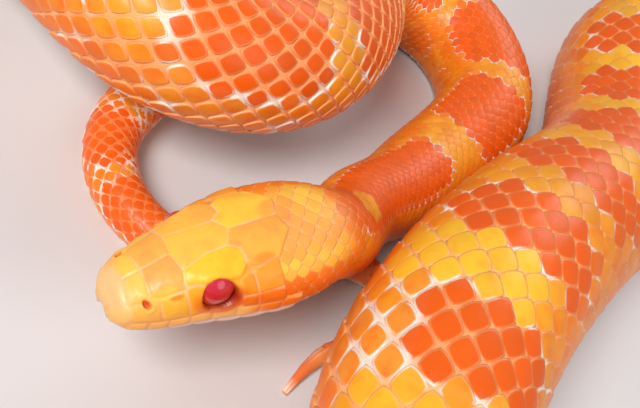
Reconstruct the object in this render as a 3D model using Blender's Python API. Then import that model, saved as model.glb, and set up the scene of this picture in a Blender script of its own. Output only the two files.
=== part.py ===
"""Corn snake, life size and still: head, eyes, neck, body lengths and tail lengths.

Lengths are millimetres, turned to metres where meshes are made. The floor is z = 0.
"""
import math

import bmesh
import bpy
import numpy as np

MM = 0.001
GAP = 0.3                     # clear space between neighbouring nodes
SAMPLE = 0.25                 # spacing of the laid-out axis

# Route of the axis from snout to tail tip: x, y and the height of the belly above the floor
ROUTE = (
    (-10.1, 57.3, 9.2), (-6.3, 63.8, 10.7), (-2.6, 70.0, 12.2), (1.2, 75.8, 12.9), (3.3, 82.0, 9.2),
    (3.6, 89.8, 5.9), (6.0, 99.0, 2.8), (8.0, 108.5, 0.6), (10.0, 118.0, 0), (10.6, 127.5, 0),
    (6.8, 136.0, 0), (-2.0, 141.0, 0), (-11.5, 138.0, 1.0), (-15.0, 128.0, 3.5), (-12.6, 116.5, 6.0),
    (-11.8, 105.5, 7.6), (-15.2, 95.5, 8.2), (-23.8, 89.8, 8.4), (-35.0, 91.8, 7.6), (-47.0, 98.0, 4.5),
    (-62.0, 101.5, 0.8), (-78.0, 97.0, 0), (-89.0, 82.0, 0), (-89.0, 60.0, 0), (-77.0, 38.0, 0),
    (-55.0, 22.0, 0), (-28.0, 14.0, 0), (-0.1, 15.1, 0), (15.2, 31.4, 0.8), (24.6, 51.0, 2.0),
    (20.2, 67.4, 4.2), (19.6, 82.0, 5.2), (21.7, 95.0, 4.8), (24.8, 107.5, 3.6), (28.4, 120.0, 2.2),
    (29.6, 132.0, 0.8), (28.0, 144.0, 0), (26.5, 158.0, 0), (33.0, 174.0, 0), (50.0, 181.0, 0),
    (72.0, 183.0, 0), (91.0, 195.0, 0), (92.0, 217.0, 0), (74.0, 231.0, 0), (46.0, 233.0, 0),
    (15.0, 226.0, 0), (-14.0, 212.0, 0), (-36.0, 192.0, 0), (-45.0, 167.0, 0), (-40.0, 143.0, 0),
    (-31.0, 122.0, 0), (-25.6, 103.0, 0), (-24.4, 92.3, 0), (-23.4, 84.4, 0), (-18.8, 78.4, 0),
    (-11.0, 76.6, 0), (-3.2, 82.2, 0), (4.0, 89.8, 0), (11.4, 92.0, 0), (16.4, 88.2, 0),
    (15.0, 83.4, 0), (11.4, 80.4, 0), (9.6, 76.6, 0), (8.8, 71.2, 0),
)
PLAN_MIDDLE = (1.92, 122.66)  # middle of the footprint, moved to x = 0, y = 0

# Half width of the body: distance behind the snout as a share of the whole length, then size
GIRTH = (
    (0, 4.7), (0.027, 4.7), (0.044, 5.1), (0.058, 6.1), (0.075, 6.8), (0.115, 7.7), (0.15, 8.9),
    (0.22, 10.1), (0.32, 10.8), (0.43, 11.0), (0.6, 10.9), (0.72, 10.0), (0.82, 7.8), (0.875, 5.5),
    (0.905, 4.2), (0.932, 3.1), (0.957, 2.4), (0.98, 1.6), (0.991, 1.1), (1, 0.35),
)
BELLY = 0.84                  # depth of the flat belly below the axis, per half width
SIDE_FACES = 6                # flats of the section from the back to the belly's edge
# Roll of the section: share of the length, then degrees by which the left side sinks
ROLL = ((0, -5.0), (0.02, -5.0), (0.06, 0), (1, 0))

NECK_END = 64.0               # behind the snout
VENT = 0.868                  # share of the length where the tail starts
BODY_LENGTHS = 12
TAIL_LENGTHS = 3

# Belly plates: every second real one, a flat with a free rear edge over a groove
SCUTE_PITCH = 7.4
SUBCAUDAL_PITCH = 4.4
SCUTE_STEP = 0.45             # depth of the groove under the free edge
SCUTE_EDGE = 0.3              # length of the step down behind the free edge
SCUTE_RISE = 0.3              # share of a plate's length that climbs from the groove

HEAD_LENGTH = 24.5            # snout to the cut behind the jaw
MOUTH_END = 17.0              # snout to the corner of the mouth
MOUTH_LINE = -1.3             # height of the mouth line from the axis
MOUTH_GROOVE = (0.6, 0.2)     # depth and half height of the line of the mouth
JAW_SETBACK = 0.7             # the lower jaw ends this far behind the snout
JAW_TAPER = 3.0               # length over which the lower jaw catches up

# Head profiles: distance behind the snout, then size from the axis
HEAD_HALF_WIDTH = ((0, 1.8), (0.6, 2.7), (2, 3.4), (4.5, 4.1), (8, 4.8), (12, 5.8),
                   (16, 6.4), (19, 6.2), (22, 5.4), (24.5, 4.8))
HEAD_TOP = ((0, 1.2), (0.6, 2.0), (2, 2.8), (4.5, 3.6), (7, 4.4), (9, 4.7), (13, 4.9), (17, 4.8), (24.5, 4.7))
HEAD_DEPTH = ((0, 2.2), (0.6, 2.6), (2, 3.0), (6, 3.5), (12, 4.2), (17, 4.6), (21, 4.3), (24.5, 3.95))
HEAD_SQUARENESS = ((0, 2.2), (3, 2.5), (9, 2.7), (15, 2.3), (24.5, 2.0))
HEAD_STATIONS = (0, 0.3, 0.9, 1.8, 3, 4.5, 6, 7.5, 9, 10.5, 12, 13.5, 15, 16.6, 17.4, 19, 20.5, 22, 23.3)
EYE = (8.7, 3.1, 2.0, 1.95)   # behind the snout, off the middle, above the axis, radius
NOSTRIL = (2.4, 1.9, 0.45)    # behind the snout, above the axis, radius

# Head plates: outward rise at the rim and in the middle, root below the surface, half a seam
PLATE_RIM, PLATE_CROWN, PLATE_ROOT, HALF_SEAM = 0.2, 0.32, 0.6, 0.13
PLATE_EDGE = 1.5              # longest straight run along a plate's rim
# Plates of the crown: corners as distance behind the snout and degrees round from the top
MIDDLE_PLATES = {
    "rostral": ((0.35, -52), (0.9, -40), (1.2, 0), (0.9, 40), (0.35, 52)),
    "frontal": ((6.0, -20), (5.7, 0), (6.0, 20), (8.4, 11), (10.6, 10), (11.6, 0), (10.6, -10), (8.4, -11)),
}
PAIRED_PLATES = {
    "internasal": ((1.2, 0), (0.9, 40), (1.8, 50), (2.8, 34), (3.0, 0)),
    "prefrontal": ((3.0, 0), (2.8, 34), (3.6, 46), (5.6, 44), (6.0, 20), (5.7, 0)),
    "supraocular": ((6.0, 20), (5.8, 36), (7.0, 46), (10.6, 44), (11.6, 30), (11.6, 16), (10.6, 10), (8.4, 11)),
    "parietal": ((11.6, 0), (10.6, 10), (11.6, 16), (11.6, 30), (12.8, 38), (15.2, 34), (16.9, 14), (16.5, 0)),
}
# Plates of the cheek: corners as distance behind the snout and height from the axis
CHEEK_PLATES = {
    "nasal": ((1.3, 0.1), (1.5, 1.9), (3.5, 2.5), (3.6, 0.2)),
    "loreal": ((3.6, 0.2), (3.5, 2.5), (5.7, 3.0), (6.0, 0.3)),
    "preocular": ((6.0, 0.3), (5.7, 3.0), (6.8, 3.4), (7.3, 3.2), (7.4, 0.3)),
    "postocular_low": ((10.9, 0.4), (10.9, 1.9), (12.3, 1.9), (12.4, 0.4)),
    "postocular_high": ((10.9, 1.9), (10.9, 3.4), (12.0, 3.7), (12.3, 1.9)),
    "temporal_low": ((12.4, 0.4), (12.3, 1.9), (15.0, 2.1), (15.2, 0.4)),
    "temporal_high": ((12.3, 1.9), (12.0, 3.7), (14.8, 4.1), (15.0, 2.1)),
}
UPPER_LIP_SEAMS = (0.9, 2.5, 4.3, 6.2, 8.2, 10.4, 12.7, 15.0, 17.0)
LOWER_LIP_SEAMS = (1.2, 2.8, 4.7, 6.8, 9.0, 11.4, 14.0, 16.8)
UPPER_LIP_TOP = ((0, 0.0), (6.5, 0.1), (9, 0.7), (11, 0.35), (17, 0.35))
LOWER_LIP_DEPTH = ((0, -2.1), (6, -2.6), (17, -2.9))

SKIN_ORANGE = (0.74, 0.2, 0.04)
HEAD_ORANGE = (0.85, 0.42, 0.08)
EYE_RED = (0.42, 0.03, 0.03)


def spline(points):
    """Natural cubic curve through the points, measured by their spacing in plan."""
    points = np.array(points, float)
    count = len(points)
    knots = np.r_[0, np.cumsum(np.linalg.norm(np.diff(points[:, :2], axis=0), axis=1))]
    step = np.diff(knots)
    matrix = np.eye(count)
    right = np.zeros_like(points)
    for i in range(1, count - 1):
        matrix[i, i - 1:i + 2] = step[i - 1], 2 * (step[i - 1] + step[i]), step[i]
        right[i] = 6 * ((points[i + 1] - points[i]) / step[i] - (points[i] - points[i - 1]) / step[i - 1])
    bend = np.linalg.solve(matrix, right)

    def at(where):
        i = np.clip(np.searchsorted(knots, where) - 1, 0, count - 2)
        ahead = (where - knots[i])[:, None]
        behind = (knots[i + 1] - where)[:, None]
        h = step[i][:, None]
        return (bend[i] * behind**3 / (6 * h) + bend[i + 1] * ahead**3 / (6 * h)
                + (points[i + 1] / h - bend[i + 1] * h / 6) * ahead
                + (points[i] / h - bend[i] * h / 6) * behind)

    return at, knots[-1]


def profile(table, where):
    """Smooth curve through a table of (place, value) that never swings past its values."""
    place, value = np.array(table, float).T
    step = np.diff(place)
    slope = np.diff(value) / step
    ease = np.zeros(len(place))
    ease[0], ease[-1] = slope[0], slope[-1]
    for i in range(1, len(place) - 1):
        if slope[i - 1] * slope[i] > 0:
            before, after = 2 * step[i] + step[i - 1], step[i] + 2 * step[i - 1]
            ease[i] = (before + after) / (before / slope[i - 1] + after / slope[i])
    where = np.asarray(where, float)
    i = np.clip(np.searchsorted(place, where) - 1, 0, len(place) - 2)
    t = (where - place[i]) / step[i]
    return ((2 * t**3 - 3 * t**2 + 1) * value[i] + (t**3 - 2 * t**2 + t) * step[i] * ease[i]
            + (3 * t**2 - 2 * t**3) * value[i + 1] + (t**3 - t**2) * step[i] * ease[i + 1])


class Trunk:
    """The laid-out axis, read by distance behind the snout."""

    def __init__(self):
        curve, span = spline(ROUTE)
        where = np.linspace(0, span, int(span / SAMPLE))
        laid = curve(where)
        self.half = profile(GIRTH, where / span)
        self.axis = np.c_[laid[:, 0] - PLAN_MIDDLE[0], laid[:, 1] - PLAN_MIDDLE[1],
                          np.maximum(laid[:, 2], 0) + BELLY * self.half]
        run = np.linalg.norm(np.diff(self.axis, axis=0), axis=1)
        self.distance = np.r_[0, np.cumsum(run)]
        self.length = self.distance[-1]
        self.back = np.gradient(self.axis, self.distance, axis=0)

    def half_width(self, s):
        return float(np.interp(s, self.distance, self.half))

    def read(self, values, s):
        return np.array([np.interp(s, self.distance, column) for column in values.T])

    def frame(self, s):
        """Axis point with the directions left, up and tailwards at distance s."""
        back = self.read(self.back, s)
        back /= np.linalg.norm(back)
        left = np.cross(np.array((0, 0, 1.0)), -back)
        left /= np.linalg.norm(left)
        roll = math.radians(float(profile(ROLL, s / self.length)))
        left = math.cos(roll) * left - math.sin(roll) * np.cross(-back, left)
        return self.read(self.axis, s), left, np.cross(-back, left), back

    def place(self, s, across, height, slide=0.0):
        """World point at distance s, moved across, up and tailwards."""
        point, left, up, back = self.frame(s)
        return point + across * left + height * up + slide * back


def new_object(name, bm):
    mesh = bpy.data.meshes.new(name)
    bm.to_mesh(mesh)
    bm.free()
    mesh.shade_smooth()
    thing = bpy.data.objects.new(name, mesh)
    bpy.context.scene.collection.objects.link(thing)
    return thing


def solid_from_rings(name, rings):
    """Closed object through a row of rings with equal counts, capped at both ends."""
    bm = bmesh.new()
    rows = [[bm.verts.new(point * MM) for point in ring] for ring in rings]
    for first, second in zip(rows, rows[1:]):
        for i in range(len(first)):
            j = (i + 1) % len(first)
            bm.faces.new((first[i], first[j], second[j], second[i]))
    bm.faces.new(rows[0])
    bm.faces.new(rows[-1])
    bmesh.ops.recalc_face_normals(bm, faces=bm.faces)
    bmesh.ops.triangulate(bm, faces=bm.faces)
    return new_object(name, bm)


def ball(name, centre, radius, rounds):
    bm = bmesh.new()
    bmesh.ops.create_icosphere(bm, subdivisions=rounds, radius=radius * MM)
    bmesh.ops.translate(bm, verts=bm.verts, vec=[float(c) * MM for c in centre])
    return new_object(name, bm)


def colour(thing, rgb, roughness):
    material = bpy.data.materials.new(thing.name + "_finish")
    material.use_nodes = True
    shader = material.node_tree.nodes["Principled BSDF"]
    shader.inputs["Base Color"].default_value = (*rgb, 1)
    shader.inputs["Roughness"].default_value = roughness
    thing.data.materials.append(material)


def combine(thing, pieces, operation):
    """Join or cut a thing with closed pieces, apply the result and remove the pieces."""
    group = bpy.data.collections.new(operation.lower())
    for piece in pieces:
        piece.hide_render = True
        piece.display_type = "WIRE"
        group.objects.link(piece)
    step = thing.modifiers.new(operation.lower(), "BOOLEAN")
    step.operation = operation
    step.solver = "EXACT"
    step.operand_type = "COLLECTION"
    step.collection = group
    graph = bpy.context.evaluated_depsgraph_get()
    graph.update()
    mesh = bpy.data.meshes.new_from_object(thing.evaluated_get(graph))
    thing.modifiers.clear()
    thing.data = mesh
    for piece in pieces:
        bpy.data.objects.remove(piece, do_unlink=True)
    bpy.data.collections.remove(group)


def keep_largest_surface(thing):
    """Drop loose scraps and sealed hollows: only the largest closed surface stays."""
    bm = bmesh.new()
    bm.from_mesh(thing.data)
    left = set(bm.verts)
    islands = []
    while left:
        island, edge_of_growth = set(), [left.pop()]
        while edge_of_growth:
            vert = edge_of_growth.pop()
            island.add(vert)
            for edge in vert.link_edges:
                other = edge.other_vert(vert)
                if other in left:
                    left.discard(other)
                    edge_of_growth.append(other)
        islands.append(island)
    islands.sort(key=len)
    scraps = [vert for island in islands[:-1] for vert in island]
    bmesh.ops.delete(bm, geom=scraps, context="VERTS")
    bm.to_mesh(thing.data)
    bm.free()


def mirrored(outline):
    """Closed ring from a half outline that starts on the middle line of the back."""
    return outline + [(-x, z) for x, z in reversed(outline[1:])]


def body_ring(trunk, s, groove=0.0):
    """Section at distance s; groove draws its belly points in towards the axis."""
    half = trunk.half_width(s)
    edge = math.acos(-BELLY)
    outline = []
    for i in range(SIDE_FACES + 1):
        reach = half
        if i == SIDE_FACES:
            reach -= groove
        elif i == SIDE_FACES - 1:
            reach -= groove / 2
        turn = edge * i / SIDE_FACES
        outline.append((reach * math.sin(turn), reach * math.cos(turn)))
    return [trunk.place(s, x, z) for x, z in mirrored(outline)]


def body_length(trunk, name, start, end, pitch):
    """One length of body or tail, with a row of belly plates that step down at their rear edges."""
    count = max(1, round((end - start) / pitch))
    width = (end - start) / count
    rings = [body_ring(trunk, start)]
    for i in range(count):
        front = start + i * width
        depth = min(SCUTE_STEP, 0.12 * trunk.half_width(front))
        if i:
            rings.append(body_ring(trunk, front, depth))
            rings.append(body_ring(trunk, front + SCUTE_RISE * width))
        rear = front + width - (SCUTE_EDGE if i < count - 1 else 0)
        rings.append(body_ring(trunk, rear))
    thing = solid_from_rings(name, rings)
    colour(thing, SKIN_ORANGE, 0.42)
    return thing


def head_size(s):
    """Half width, top, depth and squareness of the head's section at distance s."""
    return [float(profile(table, s)) for table in (HEAD_HALF_WIDTH, HEAD_TOP, HEAD_DEPTH, HEAD_SQUARENESS)]


def head_outline_point(s, turn):
    """Point of the head's section, turn degrees round from the top on the left side."""
    half, top, depth, square = head_size(s)
    sine, cosine = math.sin(math.radians(turn)), math.cos(math.radians(turn))
    across = math.copysign(half * abs(sine) ** (2 / square), sine)
    height = abs(cosine) ** (2 / square) * (top if cosine >= 0 else -depth)
    if s > MOUTH_END:
        blend = (s - MOUTH_END) / (HEAD_LENGTH - MOUTH_END)
        height = max(height, -depth + (depth - BELLY * half) * blend)
    return across, height


def turn_at_height(s, height):
    """Turn where the head's section reaches a height from the axis."""
    half, top, depth, square = head_size(s)
    if height >= 0:
        return math.degrees(math.acos(min(1, height / top) ** (square / 2)))
    return 90 + math.degrees(math.asin(min(1, -height / depth) ** (square / 2)))


def head_ring(trunk, s):
    groove, lip = MOUTH_GROOVE
    half = [head_outline_point(s, turn) for turn in (0, 18, 36, 52, 68, 82)]
    for height in (MOUTH_LINE + lip, MOUTH_LINE, MOUTH_LINE - lip):
        across, _ = head_outline_point(s, turn_at_height(s, height))
        if height == MOUTH_LINE and s < MOUTH_END:
            across -= groove
        half.append((across, height))
    low = turn_at_height(s, MOUTH_LINE - lip)
    half += [head_outline_point(s, low + (180 - low) * share) for share in (0.35, 0.7, 1)]
    ring = mirrored(half)
    ring.pop(len(half))
    slide = JAW_SETBACK * max(0, 1 - s / JAW_TAPER)
    return [trunk.place(s, x, z, slide if z < MOUTH_LINE else 0) for x, z in ring]


def head_surface(trunk, s, turn, rise):
    """Point over the head's surface, a rise out along the section's normal."""
    x, z = head_outline_point(s, turn)
    ahead, behind = head_outline_point(s, turn + 1), head_outline_point(s, turn - 1)
    normal = np.array((behind[1] - ahead[1], ahead[0] - behind[0]))
    normal /= np.linalg.norm(normal)
    slide = JAW_SETBACK * max(0, 1 - s / JAW_TAPER) if z < MOUTH_LINE else 0
    return trunk.place(s, x + rise * normal[0], z + rise * normal[1], slide)


def plate(trunk, name, corners):
    """Raised plate on the head over corners given as (distance, turn), with a seam left round it."""
    corners = np.array(corners, float)
    flat = np.array([head_surface(trunk, s, turn, 0) for s, turn in corners])
    middle = corners.mean(axis=0)
    centre = flat.mean(axis=0)
    rim = []
    for i, corner in enumerate(corners):
        after = corners[(i + 1) % len(corners)]
        run = np.linalg.norm(flat[(i + 1) % len(corners)] - flat[i])
        parts = max(1, round(run / PLATE_EDGE))
        rim += [corner + (after - corner) * share for share in np.arange(parts) / parts]
    bm = bmesh.new()
    top, root = [], []
    for spot in rim:
        reach = np.linalg.norm(head_surface(trunk, *spot, 0) - centre)
        spot = middle + (spot - middle) * (1 - HALF_SEAM / reach)
        top.append(bm.verts.new(head_surface(trunk, *spot, PLATE_RIM) * MM))
        root.append(bm.verts.new(head_surface(trunk, *spot, -PLATE_ROOT) * MM))
    crown = bm.verts.new(head_surface(trunk, *middle, PLATE_CROWN) * MM)
    base = bm.verts.new(head_surface(trunk, *middle, -PLATE_ROOT) * MM)
    for i in range(len(rim)):
        j = (i + 1) % len(rim)
        bm.faces.new((top[i], top[j], crown))
        bm.faces.new((root[j], root[i], base))
        bm.faces.new((top[j], top[i], root[i]))
        bm.faces.new((top[j], root[i], root[j]))
    bmesh.ops.recalc_face_normals(bm, faces=bm.faces)
    return new_object(name, bm)


def lip_plates(seams, edge, far):
    """Corners of a row of lip plates from the mouth's edge to a far height."""
    rows = []
    for front, rear in zip(seams, seams[1:]):
        near = [turn_at_height(s, edge) for s in (front, rear)]
        away = [turn_at_height(s, float(profile(far, s))) for s in (front, rear)]
        rows.append(((front, near[0]), (front, away[0]), (rear, away[1]), (rear, near[1])))
    return rows


def head_plates(trunk):
    pieces = [plate(trunk, name, corners) for name, corners in MIDDLE_PLATES.items()]
    lip = MOUTH_GROOVE[1]
    one_side = list(PAIRED_PLATES.values())
    one_side += [[(s, turn_at_height(s, z)) for s, z in corners] for corners in CHEEK_PLATES.values()]
    one_side += lip_plates(UPPER_LIP_SEAMS, MOUTH_LINE + lip, UPPER_LIP_TOP)
    one_side += lip_plates(LOWER_LIP_SEAMS, MOUTH_LINE - lip, LOWER_LIP_DEPTH)
    for i, corners in enumerate(one_side):
        pieces.append(plate(trunk, f"plate_left_{i}", corners))
        pieces.append(plate(trunk, f"plate_right_{i}", [(s, -turn) for s, turn in corners]))
    return pieces


def head(trunk):
    """Head with its raised plates, line of the mouth, nostrils and eye sockets, and the two eyes."""
    stations = HEAD_STATIONS + (HEAD_LENGTH - GAP / 2,)
    thing = solid_from_rings("head", [head_ring(trunk, s) for s in stations])
    combine(thing, head_plates(trunk), "UNION")
    cutters = []
    for name, side in (("left", 1), ("right", -1)):
        s, across, height, radius = EYE
        centre = trunk.place(s, side * across, height)
        cutters.append(ball("socket_" + name, centre, radius + GAP, 3))
        colour(ball("eye_" + name, centre, radius, 3), EYE_RED, 0.08)
        s, height, radius = NOSTRIL
        across, _ = head_outline_point(s, turn_at_height(s, height))
        cutters.append(ball("nostril_" + name, trunk.place(s, side * across, height), radius, 2))
    combine(thing, cutters, "DIFFERENCE")
    keep_largest_surface(thing)
    colour(thing, HEAD_ORANGE, 0.4)


def body(trunk):
    vent = VENT * trunk.length
    cuts = [HEAD_LENGTH, *np.linspace(NECK_END, vent, BODY_LENGTHS + 1)]
    cuts += list(np.linspace(vent, trunk.length, TAIL_LENGTHS + 1)[1:])
    names = ["neck"] + [f"body_{i + 1:02d}" for i in range(BODY_LENGTHS)]
    names += [f"tail_{i + 1}" for i in range(TAIL_LENGTHS)]
    for name, start, end in zip(names, cuts, cuts[1:]):
        pitch = SUBCAUDAL_PITCH if name.startswith("tail") else SCUTE_PITCH
        body_length(trunk, name, start + GAP / 2, end - GAP / 2, pitch)


def clear_scene():
    for thing in list(bpy.data.objects):
        bpy.data.objects.remove(thing, do_unlink=True)


def main():
    clear_scene()
    trunk = Trunk()
    head(trunk)
    body(trunk)


main()
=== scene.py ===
"""Looks of the corn snake: one skin, its scales and belly plates, the head's plates and the eyes.

Lengths are millimetres, turned to metres where meshes are made. The floor is z = 0. A place on the
animal is given by its distance behind the snout and its turn in degrees from the top, left positive.
"""
import math

import bmesh
import bpy
import numpy as np
from mathutils import Matrix, Vector


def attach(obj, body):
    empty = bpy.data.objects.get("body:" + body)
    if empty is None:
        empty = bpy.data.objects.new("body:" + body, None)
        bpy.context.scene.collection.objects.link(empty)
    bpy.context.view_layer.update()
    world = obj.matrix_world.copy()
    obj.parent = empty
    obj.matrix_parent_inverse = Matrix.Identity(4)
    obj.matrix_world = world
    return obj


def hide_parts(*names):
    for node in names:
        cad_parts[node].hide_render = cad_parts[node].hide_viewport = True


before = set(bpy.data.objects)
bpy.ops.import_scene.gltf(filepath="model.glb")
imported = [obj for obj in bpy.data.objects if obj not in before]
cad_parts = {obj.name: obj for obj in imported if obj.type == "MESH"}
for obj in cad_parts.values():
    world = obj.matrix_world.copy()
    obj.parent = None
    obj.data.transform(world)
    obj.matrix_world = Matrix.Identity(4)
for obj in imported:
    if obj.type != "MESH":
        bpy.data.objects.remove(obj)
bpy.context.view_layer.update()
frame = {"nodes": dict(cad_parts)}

MM = 0.001
SAMPLE = 0.25                 # spacing of the laid-out axis
TURN_SAMPLES = 361            # steps from the top of a section to its bottom

# Seeds of the random draws: chance and size of scales, strength of the yellow in each gap, and the
# noise in outlines, clouds of yellow, belly checks, white flecks, plate seams and head patches
DRAW = np.random.default_rng(27)
GAP_SEED, OUTLINE_SEED, CLOUD_SEED, CHECK_SEED = 2126, 3, 5, 9
FLECK_SEEDS, SEAM_SEED, PATCH_SEED = (21, 22), 31, 33

# Route of the axis from snout to tail tip: x, y and the height of the belly above the floor
ROUTE = (
    (-10.1, 57.3, 9.2), (-6.3, 63.8, 10.7), (-2.6, 70.0, 12.2), (1.2, 75.8, 12.9), (3.3, 82.0, 9.2),
    (3.6, 89.8, 5.9), (6.0, 99.0, 2.8), (8.0, 108.5, 0.6), (10.0, 118.0, 0), (10.6, 127.5, 0),
    (6.8, 136.0, 0), (-2.0, 141.0, 0), (-11.5, 138.0, 1.0), (-15.0, 128.0, 3.5), (-12.6, 116.5, 6.0),
    (-11.8, 105.5, 7.6), (-15.2, 95.5, 8.2), (-23.8, 89.8, 8.4), (-35.0, 91.8, 7.6), (-47.0, 98.0, 4.5),
    (-62.0, 101.5, 0.8), (-78.0, 97.0, 0), (-89.0, 82.0, 0), (-89.0, 60.0, 0), (-77.0, 38.0, 0),
    (-55.0, 22.0, 0), (-28.0, 14.0, 0), (-0.1, 15.1, 0), (15.2, 31.4, 0.8), (24.6, 51.0, 2.0),
    (20.2, 67.4, 4.2), (19.6, 82.0, 5.2), (21.7, 95.0, 4.8), (24.8, 107.5, 3.6), (28.4, 120.0, 2.2),
    (29.6, 132.0, 0.8), (28.0, 144.0, 0), (26.5, 158.0, 0), (33.0, 174.0, 0), (50.0, 181.0, 0),
    (72.0, 183.0, 0), (91.0, 195.0, 0), (92.0, 217.0, 0), (74.0, 231.0, 0), (46.0, 233.0, 0),
    (15.0, 226.0, 0), (-14.0, 212.0, 0), (-36.0, 192.0, 0), (-45.0, 167.0, 0), (-40.0, 143.0, 0),
    (-31.0, 122.0, 0), (-25.6, 103.0, 0), (-24.4, 92.3, 0), (-23.4, 84.4, 0), (-18.8, 78.4, 0),
    (-11.0, 76.6, 0), (-3.2, 82.2, 0), (4.0, 89.8, 0), (11.4, 92.0, 0), (16.4, 88.2, 0),
    (15.0, 83.4, 0), (11.4, 80.4, 0), (9.6, 76.6, 0), (8.8, 71.2, 0),
)
PLAN_MIDDLE = (1.92, 122.66)  # middle of the footprint, moved to x = 0, y = 0

# Half width of the body: distance behind the snout as a share of the whole length, then size
GIRTH = (
    (0, 4.7), (0.027, 4.7), (0.044, 5.1), (0.058, 6.1), (0.075, 6.8), (0.115, 7.7), (0.15, 8.9),
    (0.22, 10.1), (0.32, 10.8), (0.43, 11.0), (0.6, 10.9), (0.72, 10.0), (0.82, 7.8), (0.875, 5.5),
    (0.905, 4.2), (0.932, 3.1), (0.957, 2.4), (0.98, 1.6), (0.991, 1.1), (1, 0.35),
)
BELLY = 0.84                  # depth of the flat belly below the axis, per half width
ROLL = ((0, -5.0), (0.02, -5.0), (0.06, 0), (1, 0))
VENT = 0.868                  # share of the length where the tail starts
NECK_BLEND = (21.0, 28.0)     # the head's section turns into the body's between these distances

HEAD_LENGTH = 24.5
MOUTH_END = 17.0
MOUTH_LINE = -1.3
MOUTH_CORNER_RISE = 0.3
JAW_SETBACK = 0.7             # how far the lower jaw's tip lies behind the snout
JAW_TAPER = 3.0               # the distance over which that ends
JAW_EDGE = 0.15               # it starts this near the mouth's line
SNOUT_CAP = 0.3               # how far the rounded snout stands before its first section

# Head profiles: distance behind the snout, then size from the axis
HEAD_HALF_WIDTH = ((0, 1.8), (0.6, 2.7), (2, 3.4), (4.5, 4.1), (8, 4.8), (12, 5.8),
                   (16, 6.4), (19, 6.2), (22, 5.4), (24.5, 4.8))
HEAD_TOP = ((0, 1.2), (0.6, 2.0), (2, 2.8), (4.5, 3.6), (7, 4.4), (9, 4.7), (13, 4.9), (17, 4.8),
            (24.5, 4.7))
HEAD_DEPTH = ((0, 2.2), (0.6, 2.6), (2, 3.0), (6, 3.5), (12, 4.2), (17, 4.6), (21, 4.3), (24.5, 3.95))
HEAD_SQUARENESS = ((0, 2.2), (3, 2.5), (9, 2.7), (15, 2.3), (24.5, 2.0))
SIDE_TURN = 120               # degrees from the top: eyes and nostrils lie above this
EYE = (8.75, 2.88, 2.05, 2.09)  # behind the snout, off the middle, above the axis, radius
EYE_GAZE = (0.93, 0.34, 0.12)   # out to the side, up and forward
EYE_OPENING = (8.7, 2.2, 1.68, 1.45)    # behind the snout, above the axis, half length, half height
BROW = (EYE[0], 40, 2.2, 8)   # plate over the eye: behind the snout, turn, half length, half reach
NOSTRIL = (2.4, 2.0, 0.34)    # behind the snout, above the axis, radius
SOCKET_DEPTH, LID_RISE, BROW_RISE = 1.6, 0.1, 0.24
NOSTRIL_DEPTH, NOSTRIL_RISE = 0.5, 0.06
GROOVE_DEPTH, JAW_DEPTH = 0.3, 0.1      # of the mouth's line, and of the lower jaw under it

# Plates of the crown: corners as distance behind the snout and degrees round from the top
MIDDLE_PLATES = {
    "rostral": ((-0.3, -98), (0.9, -94), (0.9, -40), (1.2, 0), (0.9, 40), (0.9, 94), (-0.3, 98)),
    "frontal": ((6.0, -20), (5.7, 0), (6.0, 20), (8.4, 11), (10.6, 10), (11.6, 0), (10.6, -10), (8.4, -11)),
}
PAIRED_PLATES = {
    "internasal": ((1.2, 0), (0.9, 40), (1.8, 50), (2.8, 34), (3.0, 0)),
    "prefrontal": ((3.0, 0), (2.8, 34), (3.6, 46), (5.6, 44), (6.0, 20), (5.7, 0)),
    "supraocular": ((6.0, 20), (5.8, 36), (7.0, 46), (10.6, 44), (11.6, 30), (11.6, 16), (10.6, 10),
                    (8.4, 11)),
    "parietal": ((11.6, 0), (10.6, 10), (11.6, 16), (11.6, 30), (12.8, 38), (15.2, 34), (16.9, 14),
                 (16.5, 0)),
    "chin_front": ((1.9, 180), (1.9, 158), (4.0, 150), (6.2, 158), (6.6, 180)),
    "chin_rear": ((6.6, 180), (6.2, 158), (6.8, 146), (10.6, 156), (10.9, 172)),
}
# Plates of the cheek: corners as distance behind the snout and height from the axis
CHEEK_PLATES = {
    "nasal": ((1.3, 0.1), (1.5, 1.9), (3.5, 2.5), (3.6, 0.2)),
    "loreal": ((3.6, 0.2), (3.5, 2.5), (5.7, 3.0), (6.0, 0.3)),
    "preocular": ((6.0, 0.3), (5.7, 3.0), (6.8, 3.4), (7.6, 3.2), (7.6, 0.3)),
    "postocular_low": ((10.9, 0.4), (10.9, 1.9), (12.3, 1.9), (12.4, 0.4)),
    "postocular_high": ((10.9, 1.9), (10.9, 3.4), (12.0, 3.7), (12.3, 1.9)),
    "temporal_low": ((12.4, 0.4), (12.3, 1.9), (15.0, 2.1), (15.2, 0.4)),
    "temporal_high": ((12.3, 1.9), (12.0, 3.7), (14.8, 4.1), (15.0, 2.1)),
}
UPPER_LIP_SEAMS = (0.9, 2.5, 4.3, 6.2, 8.2, 10.4, 12.7, 15.0, 17.0)
LOWER_LIP_SEAMS = (1.2, 2.8, 4.7, 6.8, 9.0, 11.4, 14.0, 16.8)
UPPER_LIP_TOP = ((0, 0.0), (6.5, 0.1), (9, 0.7), (11, 0.35), (17, 0.35))
LOWER_LIP_DEPTH = ((0, -2.1), (6, -2.6), (17, -2.9))
PLATE_STEP, PLATE_DOME = 0.085, 0.11  # rise of a plate at its rim, and further to its middle
PLATE_NEAR = 1.2              # a plate's rim is measured up to this far from it
SEAM_WIDTH = 0.19

# Where the small scales take over from the head plates: turn, then distance behind the snout
HEAD_PLATES_END = ((0, 16.9), (12, 17.0), (33, 15.7), (40, 15.2), (60, 14.8), (72, 14.8), (84, 16.5),
                   (112, 17.2), (130, 13.8), (146, 11.4), (180, 11.4))

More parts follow.
